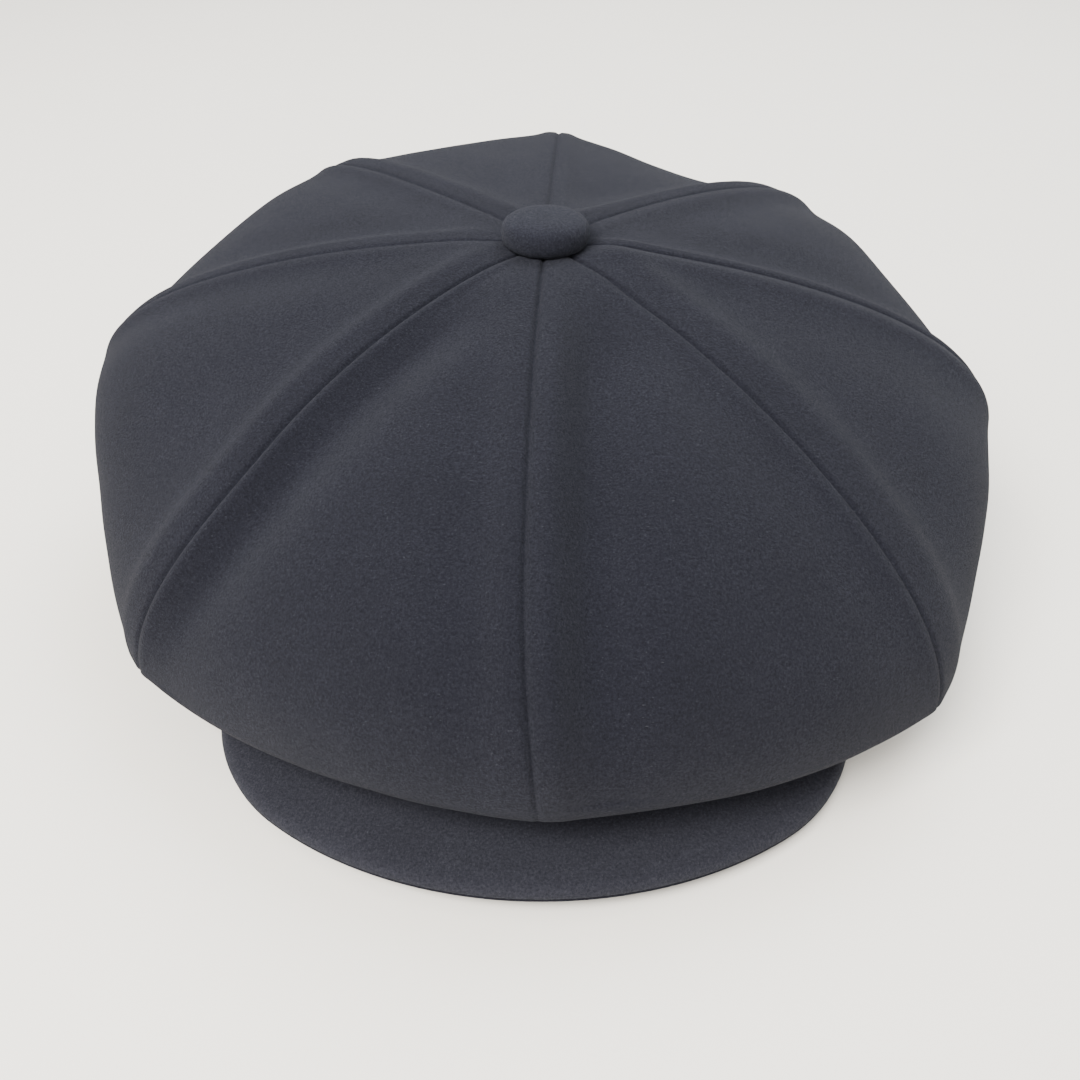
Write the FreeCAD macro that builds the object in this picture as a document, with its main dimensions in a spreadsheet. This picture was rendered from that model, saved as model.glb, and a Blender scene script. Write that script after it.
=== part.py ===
import FreeCAD, Part
import math
import os
import Sketcher
from FreeCAD import Placement, Rotation, Vector

# Newsboy cap: eight-gore crown, lining, covered button, sweatband and a sprung visor.
# Millimetres. The origin is the centre of the head opening in the plane of the hem.
# +Z is up through the crown, and the visor points to -Y.

DIMENSIONS = {
    # Head opening, measured inside the sweatband: an ellipse of about 58 cm round.
    "opening_half_width": 85.0,
    "opening_half_length": 100.0,
    "sweatband_thick": 1.2,
    "sweatband_height": 30.0,
    "tape_thick": 1.6,
    "tape_height": 15.0,
    # Crown: the shoulder is the widest point of each seam. Seams run every 45 degrees
    # round the button, so five of them describe a cap that is the same left and right.
    "button_behind_centre": 8.0,
    "crown_top": 113.5,
    "shoulder_radius_front": 156.0,
    "shoulder_radius_front_corner": 160.0,
    "shoulder_radius_side": 150.5,
    "shoulder_radius_rear_corner": 143.5,
    "shoulder_radius_rear": 138.5,
    "shoulder_height_front": 29.0,
    "shoulder_height_front_corner": 30.0,
    "shoulder_height_side": 62.0,
    "shoulder_height_rear_corner": 88.0,
    "shoulder_height_rear": 97.0,
    "hem_lift_over_visor": 17.0,
    "hem_lift_full_to": 50.0,
    "hem_lift_none_from": 75.0,
    "gore_bulge": 0.43,
    "shoulder_fullness_front": 0.51,
    "shoulder_fullness_rear": 0.76,
    "fullness_changes_from": 80.0,
    "fullness_changes_to": 170.0,
    "top_flatness": 0.1,
    "roll_depth": 0.55,
    "tuck_behind": 0.15,
    "tuck_over_visor": 0.75,
    "hem_uprightness": 0.3,
    "edge_gap": 0.2,
    "apex_hole_radius": 2.6,
    "wool_thick": 1.8,
    "lining_thick": 0.8,
    "lining_gap": 1.8,
    "lining_hem_height": 21.0,
    "lining_edge_gap": 0.3,
    "lining_drop_at_apex": 5.0,
    "lining_drop_reach": 45.0,
    # Covered button and the pin that holds it.
    "button_radius": 14.0,
    "button_height": 8.0,
    "button_cover_thick": 1.4,
    "button_shell_thick": 0.5,
    "button_back_radius": 10.6,
    "button_back_thick": 1.0,
    "pin_radius": 1.5,
    "pin_head_radius": 3.5,
    "pin_leg_length": 6.5,
    "pin_leg_thick": 0.8,
    "pin_spread": 14.0,
    "washer_radius": 9.0,
    "washer_hole_radius": 2.0,
    "washer_thick": 0.8,
    # Visor: front arc, corner arcs and side arcs, on a cylinder whose axis slopes forward.
    "visor_front": 157.0,
    "visor_front_radius": 119.0,
    "visor_corner_radius": 60.0,
    "visor_side_radius": 90.0,
    "visor_half_width": 92.5,
    "visor_tip": 50.0,
    "visor_root_height": 12.0,
    "visor_slope": 5.0,
    "visor_arch_radius": 628.0,
    "visor_cover_thick": 1.8,
    "visor_board_thick": 1.8,
    "visor_board_inset": 2.2,
    "visor_clearance": 1.2,
}

doc = FreeCAD.newDocument("NewsboyCap")
sheet = doc.addObject("Spreadsheet::Sheet", "Dims")
for row, (alias, value) in enumerate(DIMENSIONS.items(), start=1):
    sheet.set("A%d" % row, alias)
    sheet.set("B%d" % row, str(value))
    sheet.setAlias("B%d" % row, alias)
doc.recompute()

parts = []


def dim(alias):
    """The value of one cell of the sheet."""
    return float(getattr(sheet, alias))


def keep(item, label):
    """Name a finished sub-part and list it for export."""
    item.Label = label
    parts.append(item)
    return item


# ---------------------------------------------------------------- crown surface

GORES = 8
GORE_ANGLE = 2 * math.pi / GORES


def mirrored(front, front_corner, side, rear_corner, rear):
    """Values at the eight seams, going round from the front seam."""
    return [front, front_corner, side, rear_corner, rear, rear_corner, side, front_corner]


SEAM_RADIUS = mirrored(dim("shoulder_radius_front"), dim("shoulder_radius_front_corner"),
                       dim("shoulder_radius_side"), dim("shoulder_radius_rear_corner"),
                       dim("shoulder_radius_rear"))
SEAM_HEIGHT = mirrored(dim("shoulder_height_front"), dim("shoulder_height_front_corner"),
                       dim("shoulder_height_side"), dim("shoulder_height_rear_corner"),
                       dim("shoulder_height_rear"))


def ease(share):
    """0 to 1 with a flat start and a flat end."""
    share = min(max(share, 0.0), 1.0)
    return share * share * (3 - 2 * share)


def bezier(ctrl, u):
    """One coordinate of a cubic Bezier curve."""
    v = 1 - u
    return v ** 3 * ctrl[0] + 3 * v * v * u * ctrl[1] + 3 * v * u * u * ctrl[2] + u ** 3 * ctrl[3]


def over_visor(angle):
    """1 above the visor, 0 beside and behind it; the angle is measured from the front seam."""
    turned = abs(math.degrees(math.remainder(angle, 2 * math.pi)))
    start, end = dim("hem_lift_full_to"), dim("hem_lift_none_from")
    return 1 - ease((turned - start) / (end - start))


def fullness(angle):
    """How far up from the shoulder the crown stands nearly upright, as a share of its fall."""
    turned = abs(math.degrees(math.remainder(angle, 2 * math.pi)))
    front, rear = dim("shoulder_fullness_front"), dim("shoulder_fullness_rear")
    start, end = dim("fullness_changes_from"), dim("fullness_changes_to")
    return front + (rear - front) * ease((turned - start) / (end - start))


def shoulder(gore, share):
    """Radius and height of a gore's shoulder, share 0 to 1 from one seam to the next."""
    r0, r1 = SEAM_RADIUS[gore], SEAM_RADIUS[(gore + 1) % GORES]
    z0, z1 = SEAM_HEIGHT[gore], SEAM_HEIGHT[(gore + 1) % GORES]
    turned = share * GORE_ANGLE
    chord = (r0 * r1 * math.sin(GORE_ANGLE)
             / (r0 * math.sin(turned) + r1 * math.sin(GORE_ANGLE - turned)))
    arc = r0 + (r1 - r0) * ease(share)
    return chord + (arc - chord) * dim("gore_bulge"), z0 + (z1 - z0) * ease(share)


def ellipse_reach(angle, outset):
    """Distance from the button's axis to the opening's ellipse, made larger by outset."""
    a = dim("opening_half_width") + outset
    b = dim("opening_half_length") + outset
    x, y = math.sin(angle), -math.cos(angle)
    start = dim("button_behind_centre")
    p = (x / a) ** 2 + (y / b) ** 2
    q = 2 * start * y / b ** 2
    return (-q + math.sqrt(q * q - 4 * p * ((start / b) ** 2 - 1))) / (2 * p)


def hanging(wide, high, hem, hem_height, front, u):
    """The line from the shoulder down to a hem, which runs in level where front is 1."""
    drop = high - hem_height
    behind, over = dim("tuck_behind"), dim("tuck_over_visor")
    low = hem + (behind + (over - behind) * front) * (wide - hem)
    foot = hem_height + dim("hem_uprightness") * (1 - front) * drop
    return (bezier((wide, wide, low, hem), u),
            bezier((high, high - dim("roll_depth") * drop, foot, hem_height), u))


def crown_line(gore, share, step):
    """Radius and height on the crown, step 0 at the apex, 1 at the shoulder, 2 at the hem."""
    angle = (gore + share) * GORE_ANGLE
    wide, high = shoulder(gore, share)
    if step <= 1:
        top = dim("crown_top")
        fall = top - high
        r = bezier((dim("apex_hole_radius"), 0.5 * wide, wide, wide), step)
        z = bezier((top, top - dim("top_flatness") * fall, high + fullness(angle) * fall, high), step)
        return r, z
    # Over the visor the gores' cut edge butts against the tape; elsewhere it laps the tape.
    front = over_visor(angle)
    outset = dim("sweatband_thick") + dim("tape_thick") + dim("edge_gap") + dim("wool_thick") * (1 - front)
    hem = ellipse_reach(angle, outset)
    return hanging(wide, high, hem, dim("hem_lift_over_visor") * front, front, step - 1)


def offset(line, gore, share, step, depth):
    """A point at a depth inside a gore's line, square to that line."""
    near = 0.02  # how far along the line its direction is measured
    r, z = line(gore, share, step)
    before = line(gore, share, max(step - near, 0.0))
    after = line(gore, share, min(step + near, 2.0))
    dr, dz = after[0] - before[0], after[1] - before[1]
    size = math.hypot(dr, dz)
    return r + depth * dz / size, z - depth * dr / size


def lining_line(gore, share, step):
    """Inside the crown, sunk under the button and drawn in to the sweatband."""
    gap = dim("wool_thick") + dim("lining_gap")
    if step <= 1:
        r, z = offset(crown_line, gore, share, step, gap)
        return r, z - dim("lining_drop_at_apex") * (1 - ease(r / dim("lining_drop_reach")))
    angle = (gore + share) * GORE_ANGLE
    wide, high = shoulder(gore, share)
    wide -= gap
    front = over_visor(angle)
    hem = ellipse_reach(angle, dim("sweatband_thick") + dim("lining_thick") + dim("lining_edge_gap"))
    hem_height = dim("lining_hem_height")
    return hanging(wide, high, hem, hem_height, front, step - 1)


def gore_point(gore, share, r, z):
    angle = (gore + share) * GORE_ANGLE
    return Vector(r * math.sin(angle), dim("button_behind_centre") - r * math.cos(angle), z)


GRID_ACROSS, GRID_HALF_WAY = 12, 15
ACROSS = [i / GRID_ACROSS for i in range(GRID_ACROSS + 1)]
ALONG = [i / GRID_HALF_WAY for i in range(2 * GRID_HALF_WAY + 1)]


def gore_solid(gore, line, thick):
    """A gore between two seams: an outer and an inner spline face joined by ruled edges."""
    sheets = []
    for depth in (0.0, thick):
        grid = [[gore_point(gore, share, *offset(line, gore, share, step, depth)) for step in ALONG]
                for share in ACROSS]
        surface = Part.BSplineSurface()
        surface.interpolate(grid)
        sheets.append(surface)
    faces = [s.toShape() for s in sheets]
    for end in (0.0, 1.0):
        faces.append(sheets[0].uIso(end).makeRuledSurface(sheets[1].uIso(end)).toShape())
        faces.append(sheets[0].vIso(end).makeRuledSurface(sheets[1].vIso(end)).toShape())
    shell = Part.makeShell(faces)
    shell.sewShape()
    solid = Part.makeSolid(shell)
    if solid.Volume < 0:
        solid.reverse()
    return solid


def feature(label, shape):
    """A sub-part whose shape comes from a formula."""
    item = doc.addObject("Part::Feature", label)
    item.Shape = shape
    item.Placement = Placement()
    return keep(item, label)


# Gores in order round the cap, starting with the one on the +X side of the front seam.
GORE_NAMES = ("front_right", "right_front", "right_rear", "rear_right",
              "rear_left", "left_rear", "left_front", "front_left")


def make_crown():
    for gore, name in enumerate(GORE_NAMES):
        feature("crown_gore_" + name, gore_solid(gore, crown_line, dim("wool_thick")))


def make_lining():
    for gore, name in enumerate(GORE_NAMES):
        feature("lining_gore_" + name, gore_solid(gore, lining_line, dim("lining_thick")))


# ---------------------------------------------------------------- bodies and sketches

def origin_plane(body, role):
    for item in body.Origin.OriginFeatures:
        if item.Role == role:
            return item
    raise ValueError(role)


def new_body(name):
    return doc.addObject("PartDesign::Body", name)


def new_sketch(body, role, name):
    sketch = body.newObject("Sketcher::SketchObject", name)
    sketch.AttachmentSupport = (origin_plane(body, role), [""])
    sketch.MapMode = "FlatFace"
    return sketch


def drive(sketch, constraint, name, formula):
    """Add a named constraint whose value is a formula of the sheet."""
    index = sketch.addConstraint(constraint)
    sketch.renameConstraint(index, name)
    sketch.setExpression("Constraints." + name, formula)


def add_ellipse(sketch, tag, half_width, half_length):
    """An ellipse about the origin, long in Y; the sizes are formulas of the sheet."""
    a = sheet_value(half_width)
    b = sheet_value(half_length)
    curve = sketch.addGeometry(Part.Ellipse(Vector(0, b, 0), Vector(-a, 0, 0), Vector(0, 0, 0)), False)
    sketch.exposeInternalGeometry(curve)
    sketch.addConstraint(Sketcher.Constraint("Coincident", curve, 3, -1, 1))
    sketch.addConstraint(Sketcher.Constraint("Vertical", curve + 1))
    drive(sketch, Sketcher.Constraint("Distance", curve + 1, 2 * b), tag + "_long", "2 * (%s)" % half_length)
    drive(sketch, Sketcher.Constraint("Distance", curve + 2, 2 * a), tag + "_wide", "2 * (%s)" % half_width)


def sheet_value(formula):
    """Work out a formula that names cells as Dims.alias."""
    total = 0.0
    for term in formula.split("+"):
        total += dim(term.strip().replace("Dims.", ""))
    return total


def pad(body, sketch, name, length):
    item = body.newObject("PartDesign::Pad", name)
    item.Profile = sketch
    item.setExpression("Length", length)
    body.Tip = item
    return item


def elliptical_ring(label, inner, outer, height):
    """A band round the head opening, standing on the plane of the hem."""
    body = new_body(label)
    sketch = new_sketch(body, "XY_Plane", label + "_outline")
    add_ellipse(sketch, "inner", *inner)
    add_ellipse(sketch, "outer", *outer)
    pad(body, sketch, label + "_pad", height)
    return keep(body, label)


def make_band():
    half = ("Dims.opening_half_width", "Dims.opening_half_length")
    band = tuple(h + " + Dims.sweatband_thick" for h in half)
    tape = tuple(h + " + Dims.tape_thick" for h in band)
    elliptical_ring("sweatband", half, band, "Dims.sweatband_height")
    elliptical_ring("hem_tape", band, tape, "Dims.tape_height")


# ---------------------------------------------------------------- primitives and booleans

def primitive(kind, name, **formulas):
    """A Part primitive whose sizes and place are formulas of the sheet."""
    item = doc.addObject("Part::" + kind, name)
    for field, formula in formulas.items():
        if field in ("x", "y", "z"):
            item.setExpression("Placement.Base." + field, formula)
        else:
            item.setExpression(field, formula)
    return item


def boolean(kind, name, base, tool):
    item = doc.addObject("Part::" + kind, name)
    item.Base = base
    item.Tool = tool
    return item


# ---------------------------------------------------------------- button

BUTTON_Y = "Dims.button_behind_centre"
BUTTON_BASE = "Dims.crown_top + 0.1"
BUTTON_RIM = 2.6
BALL = ("((Dims.button_radius ^ 2 + (Dims.button_height - %g) ^ 2)"
        " / (2 * (Dims.button_height - %g)))" % (BUTTON_RIM, BUTTON_RIM))


def domed_slug(name, inset, floor_gap):
    """A solid dome with an upright rim, inset all over, its flat base floor_gap above the button's."""
    ball = primitive("Sphere", name + "_ball", Radius="%s - (%s)" % (BALL, inset), y=BUTTON_Y,
                     z="%s + Dims.button_height - %s" % (BUTTON_BASE, BALL))
    drum = primitive("Cylinder", name + "_drum", Radius="Dims.button_radius - (%s)" % inset,
                     Height="Dims.button_height + 1", y=BUTTON_Y, z="%s + %s" % (BUTTON_BASE, floor_gap))
    return boolean("Common", name, ball, drum)


def button_plug(name, radius, low, height):
    """A cylinder on the button's axis; low is measured from the button's base."""
    return primitive("Cylinder", name, Radius=radius, Height=height, y=BUTTON_Y,
                     z="%s + (%s)" % (BUTTON_BASE, low))


def button_disc(label, radius, hole, low, height):
    """A flat disc with a hole, on the button's axis."""
    disc = button_plug(label + "_blank", radius, low, height)
    bore = button_plug(label + "_bore", hole, "%s - 1" % low, "%s + 2" % height)
    return keep(boolean("Cut", label, disc, bore), label)


def make_button():
    cloth, metal = "Dims.button_cover_thick", "Dims.button_cover_thick + Dims.button_shell_thick"
    outside = domed_slug("cover_outside", "0", "0")
    inside = domed_slug("cover_inside", cloth, "0.6")
    hollow = boolean("Cut", "cover_hollow", outside, inside)
    mouth = button_plug("cover_mouth", "Dims.button_back_radius + 0.1", "-1", "2")
    keep(boolean("Cut", "button_cover", hollow, mouth), "button_cover")

    shell_outside = domed_slug("shell_outside", cloth, "0.7")
    shell_inside = domed_slug("shell_inside", metal, "-1")
    keep(boolean("Cut", "button_shell", shell_outside, shell_inside), "button_shell")

    button_disc("button_back_plate", "Dims.button_back_radius", "Dims.pin_radius", "0",
                "Dims.button_back_thick")
    button_disc("crown_washer", "Dims.washer_radius", "Dims.washer_hole_radius",
                "-Dims.pin_leg_length", "Dims.washer_thick")

    head = button_plug("pin_head", "Dims.pin_head_radius", "Dims.button_back_thick",
                       "Dims.pin_leg_thick")
    post = button_plug("pin_post", "Dims.pin_radius", "-Dims.pin_leg_length - 1",
                       "Dims.pin_leg_length + Dims.button_back_thick + 1")
    fused = boolean("Fuse", "pin_upright", head, post)
    spread = primitive("Box", "pin_spread", Length="Dims.pin_spread", Width="2 * Dims.pin_radius",
                       Height="Dims.pin_leg_thick", x="-Dims.pin_spread / 2",
                       y="Dims.button_behind_centre - Dims.pin_radius",
                       z="%s - Dims.pin_leg_length - 1" % BUTTON_BASE)
    keep(boolean("Fuse", "button_split_pin", fused, spread), "button_split_pin")


# ---------------------------------------------------------------- visor

def visor_outline(name, inset):
    """The crescent's outer edge, closed straight across between the tips, as a tall block."""
    body = new_body(name)
    sketch = new_sketch(body, "XY_Plane", name + "_outline")
    front, corner, side = (dim("visor_front_radius"), dim("visor_corner_radius"), dim("visor_side_radius"))
    wide, tip = dim("visor_half_width"), dim("visor_tip")
    middle = front - dim("visor_front")
    corner_x = wide - corner
    corner_y = middle - math.sqrt((front - corner) ** 2 - corner_x ** 2)
    side_x = wide - side
    touch = math.atan2(corner_y - middle, corner_x)
    tip_angle = math.asin((-tip - corner_y) / (side - inset))

    def arc(x, y, radius, start, end):
        circle = Part.Circle(Vector(x, y, 0), Vector(0, 0, 1), radius - inset)
        return sketch.addGeometry(Part.ArcOfCircle(circle, start, end), False)

    front_arc = arc(0, middle, front, math.pi - touch, 2 * math.pi + touch)
    right_corner = arc(corner_x, corner_y, corner, touch, 0)
    right_side = arc(side_x, corner_y, side, 0, tip_angle)
    tip_x = side_x + (side - inset) * math.cos(tip_angle)
    back = sketch.addGeometry(Part.LineSegment(Vector(tip_x, -tip, 0), Vector(-tip_x, -tip, 0)), False)
    left_side = arc(-side_x, corner_y, side, math.pi - tip_angle, math.pi)
    left_corner = arc(-corner_x, corner_y, corner, math.pi, math.pi - touch)
    join = Sketcher.Constraint
    for kind, one, one_end, two, two_end in (
            ("Tangent", front_arc, 2, right_corner, 1), ("Tangent", right_corner, 2, right_side, 1),
            ("Coincident", right_side, 2, back, 1), ("Coincident", back, 2, left_side, 1),
            ("Tangent", left_side, 2, left_corner, 1), ("Tangent", left_corner, 2, front_arc, 1)):
        sketch.addConstraint(join(kind, one, one_end, two, two_end))
    sketch.addConstraint(join("PointOnObject", front_arc, 3, -2))
    sketch.addConstraint(join("Equal", right_corner, left_corner))
    sketch.addConstraint(join("Equal", right_side, left_side))
    sketch.addConstraint(join("Symmetric", back, 1, back, 2, -2))
    sketch.addConstraint(join("Horizontal", right_corner, 3, right_side, 3))
    sketch.addConstraint(join("Horizontal", left_corner, 3, left_side, 3))
    drive(sketch, join("Radius", front_arc, front - inset), "front_radius",
          "Dims.visor_front_radius - %g" % inset)
    drive(sketch, join("Radius", right_corner, corner - inset), "corner_radius",
          "Dims.visor_corner_radius - %g" % inset)
    drive(sketch, join("Radius", right_side, side - inset), "side_radius",
          "Dims.visor_side_radius - %g" % inset)
    drive(sketch, join("DistanceY", front_arc, 3, -1, 1, -middle), "front_middle",
          "Dims.visor_front - Dims.visor_front_radius")
    drive(sketch, join("DistanceX", right_side, 3, -1, 1, -side_x), "side_middle",
          "Dims.visor_side_radius - Dims.visor_half_width")
    drive(sketch, join("DistanceY", back, 1, -1, 1, tip), "tip", "Dims.visor_tip")
    pad(body, sketch, name + "_pad", "60")
    body.setExpression("Placement.Base.z", "-20")
    return body


def head_core(name):
    """The space inside the visor's inner edge."""
    body = new_body(name)
    sketch = new_sketch(body, "XY_Plane", name + "_outline")
    outset = " + Dims.sweatband_thick + Dims.tape_thick + Dims.visor_clearance"
    add_ellipse(sketch, "core", "Dims.opening_half_width" + outset, "Dims.opening_half_length" + outset)
    pad(body, sketch, name + "_pad", "60")
    body.setExpression("Placement.Base.z", "-20")
    return body


def arch(name, offset):
    """A long cylinder whose top line is the visor's ridge, offset from the board's middle."""
    drum = primitive("Cylinder", name, Radius="Dims.visor_arch_radius + (%s)" % offset, Height="360",
                     y="Dims.opening_half_length",
                     z="Dims.visor_root_height - Dims.visor_arch_radius / cos(Dims.visor_slope * 1 deg)"
                       " + tan(Dims.visor_slope * 1 deg) * 2 * Dims.opening_half_length")
    drum.Placement.Rotation = Rotation(Vector(1, 0, 0), 90 + dim("visor_slope"))
    return drum


def make_visor():
    half_board = "Dims.visor_board_thick / 2"
    outside = half_board + " + Dims.visor_cover_thick"
    levels = {
        "top": arch("arch_top", outside),
        "board_top": arch("arch_board_top", half_board),
        "board_under": arch("arch_board_under", "-" + half_board),
        "under": arch("arch_under", "-" + half_board + " - Dims.visor_cover_thick"),
    }
    wide = boolean("Cut", "visor_blank", visor_outline("visor_block", 0.0), head_core("core_wide"))
    narrow = boolean("Cut", "board_blank", visor_outline("board_block", dim("visor_board_inset")),
                     head_core("core_board"))

    def layer(name, blank, upper, lower):
        """The part of a blank between two arches."""
        return boolean("Cut", name, boolean("Common", name + "_low", blank, levels[upper]), levels[lower])

    board = layer("visor_board", narrow, "board_top", "board_under")
    keep(board, "visor_board")
    keep(boolean("Cut", "visor_top_cover", layer("top_layer", wide, "top", "board_under"), board),
         "visor_top_cover")
    keep(layer("visor_under_cover", wide, "board_under", "under"), "visor_under_cover")


# ---------------------------------------------------------------- build, test and write

make_crown()
make_lining()
make_band()
make_button()
make_visor()
doc.recompute()

for item in doc.Objects:
    if "Invalid" in item.State or "Error" in item.State:
        raise RuntimeError("%s failed: %s" % (item.Label, item.State))
for item in parts:
    shape = item.Shape
    if shape.isNull() or not shape.isValid() or shape.Volume <= 0:
        raise RuntimeError("%s has no sound shape" % item.Label)
    print("%-26s %d solid(s) %9.1f mm3" % (item.Label, len(shape.Solids), shape.Volume))

os.makedirs("parts", exist_ok=True)
for item in parts:
    item.Shape.exportStep("parts/%s.step" % item.Label)
print(len(parts), "sub-parts")
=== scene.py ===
import math

import bpy
import numpy as np
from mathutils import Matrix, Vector


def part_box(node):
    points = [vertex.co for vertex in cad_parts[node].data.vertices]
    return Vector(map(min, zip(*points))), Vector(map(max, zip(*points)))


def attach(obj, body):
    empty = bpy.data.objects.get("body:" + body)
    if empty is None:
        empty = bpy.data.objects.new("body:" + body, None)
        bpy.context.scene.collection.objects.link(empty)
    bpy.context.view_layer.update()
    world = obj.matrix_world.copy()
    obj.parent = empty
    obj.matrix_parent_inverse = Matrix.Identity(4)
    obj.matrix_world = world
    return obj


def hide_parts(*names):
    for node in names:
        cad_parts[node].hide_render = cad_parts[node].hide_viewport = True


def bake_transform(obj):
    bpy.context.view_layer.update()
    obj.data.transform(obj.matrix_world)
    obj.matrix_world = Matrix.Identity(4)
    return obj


# Newsboy cap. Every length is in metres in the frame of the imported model: the origin is the centre
# of the head opening in the plane of the hem, +Z is up and the visor points to -Y.

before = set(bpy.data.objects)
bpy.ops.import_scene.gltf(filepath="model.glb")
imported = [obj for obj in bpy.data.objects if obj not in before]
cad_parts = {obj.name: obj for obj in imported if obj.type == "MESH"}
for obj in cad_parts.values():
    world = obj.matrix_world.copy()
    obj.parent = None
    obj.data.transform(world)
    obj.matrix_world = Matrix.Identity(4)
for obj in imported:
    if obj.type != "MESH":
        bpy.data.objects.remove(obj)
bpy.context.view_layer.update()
MM = 0.001

# ---------------------------------------------------------------- sizes read from the frame


def box_of(node):
    low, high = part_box(node)
    return np.array(low), np.array(high)


BUTTON_LOW, BUTTON_HIGH = box_of("button_cover")
TAPE_HIGH = box_of("hem_tape")[1]
BAND_HIGH = box_of("sweatband")[1]
VISOR_LOW, VISOR_HIGH = box_of("visor_top_cover")
CROWN_TOP = box_of("crown_gore_front_right")[1][2]
AXIS_Y = (BUTTON_LOW[1] + BUTTON_HIGH[1]) / 2
BUTTON_R = (BUTTON_HIGH[0] - BUTTON_LOW[0]) / 2
BAND_A, BAND_B = BAND_HIGH[0], BAND_HIGH[1]
TAPE_A, TAPE_B = TAPE_HIGH[0], TAPE_HIGH[1]

FRONT_R = AXIS_Y - box_of("crown_gore_front_right")[0][1]
FRONT_CORNER_R = box_of("crown_gore_front_right")[1][0] / math.sin(math.pi / 4)
SIDE_R = box_of("crown_gore_right_front")[1][0]
REAR_CORNER_R = box_of("crown_gore_rear_right")[1][0] / math.sin(math.pi / 4)
REAR_R = box_of("crown_gore_rear_right")[1][1] - AXIS_Y

# Cloth thicknesses, the height of the hem where it is sewn to the visor, how far the roll of the
# crown stays above that height, and the play between the stay tape and the wool.
WOOL = 1.8 * MM
LINING = 0.6 * MM
HEM_LIFT = VISOR_HIGH[2]
ROLL_GAP = 0.8 * MM
TAPE_GAP = 0.2 * MM

# ---------------------------------------------------------------- crown surface
# Seams go round from the front seam towards +X. Step 0 is at the button, 1 at the shoulder, which
# is the widest point, and 2 at the hem.

GORES = 8
GORE_NAMES = ("front_right", "right_front", "right_rear", "rear_right",
              "rear_left", "left_rear", "left_front", "front_left")
SEAM_R = np.array([FRONT_R, FRONT_CORNER_R, SIDE_R, REAR_CORNER_R,
                   REAR_R, REAR_CORNER_R, SIDE_R, FRONT_CORNER_R])
SEAM_Z = CROWN_TOP * np.array([0.255, 0.264, 0.546, 0.775, 0.855, 0.775, 0.546, 0.264])
# How far the soft crown has slumped from the even shape, seam by seam: outwards, upwards, and the
# turn in degrees near the button, half way down and at the shoulder.
SLUMP_R = MM * np.array([3.7, 1.0, -3.0, 3.0, 1.5, 1.2, 2.4, -3.5])
SLUMP_Z = MM * np.array([4.5, -3.2, -2.5, -6.0, 6.0, 7.0, 4.8, -5.0])
SLUMP_TURN = np.radians(((-1.4, -0.6, 1.3), (-1.6, -1.6, -0.4), (-2.2, -2.7, -5.0),
                         (4.5, 2.5, 0.9), (-0.5, -0.6, -0.4), (-5.0, -4.8, -4.6),
                         (-6.0, -3.5, -1.5), (-3.0, 1.0, -2.0)))
# How rounded each gore's shoulder is: 0 is straight from seam to seam and 1 is an arc.
BULGE = (0.64, 0.36, 0.2, -0.3, 0.1, 0.18, 0.52, 0.62)
# How far each gore stands out in its middle, in mm; a negative one has sunk.
PUFF = (1.2, 1.2, 1.2, -2.2, 0.8, 1.2, 1.2, 1.2)
# The gores meet under the button in a ring of this radius.
APEX_R = 2.6 * MM
# Upper profile, as shares: how far out it stays level, how much it falls there, and how high above
# the shoulder it turns down. The last one grows from the front to the rear.
LEVEL_TO = 0.5
LEVEL_FALL = 0.1
FULL_FRONT = 0.51
FULL_REAR_MORE = 0.25
# Angles in degrees from the front, and how many degrees each change takes.
FULL_FROM, FULL_OVER = 80, 90
VISOR_HEM_TO, VISOR_HEM_FADE = 58, 20
CORNER_AT, CORNER_WIDE = 58, 9
CORNER_LIFT = 1.6 * MM


def ease(share):
    share = np.clip(share, 0, 1)
    return share * share * (3 - 2 * share)


def bump(x, middle, width):
    """A soft hill: 1 at the middle and about 0.37 a width away."""
    return np.exp(-((x - middle) / width) ** 2)


def bezier(c, u):
    v = 1 - u
    return v ** 3 * c[0] + 3 * v * v * u * c[1] + 3 * v * u * u * c[2] + u ** 3 * c[3]


def ellipse_reach(angle, a, b):
    """Distance from the button's axis to an ellipse about the origin."""
    x, y = np.sin(angle), -np.cos(angle)
    p = (x / a) ** 2 + (y / b) ** 2
    q = 2 * AXIS_Y * y / b ** 2
    return (-q + np.sqrt(q * q - 4 * p * ((AXIS_Y / b) ** 2 - 1))) / (2 * p)


def turned_from_front(angle):
    return np.abs(np.degrees(np.remainder(angle + np.pi, 2 * np.pi) - np.pi))


def over_visor(turned):
    """1 where the hem is sewn to the visor, fading to 0 beside it."""
    return 1 - ease((turned - VISOR_HEM_TO) / VISOR_HEM_FADE)


def hanging(wide, high, hem, hem_z, front, rise, step):
    """The line from the shoulder down to a hem. At the front it runs in level and then dips."""
    foot = hem_z + rise
    drop = high - foot
    low = hem + (0.15 + 0.6 * front) * (wide - hem)
    u = np.clip(step, 0, 1)
    return (bezier((wide, wide, low, hem), u),
            bezier((high, high - 0.55 * drop, foot + 0.3 * (1 - front) * drop, hem_z), u))


def seam_angle(seam, step):
    near, half_way, low = SLUMP_TURN[seam % GORES]
    upper = (half_way - near) * ease((step - 0.1) / 0.5)
    lower = (low - half_way) * ease((step - 0.5) / 0.6)
    return seam * math.pi / 4 + (near + upper + lower)


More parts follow.
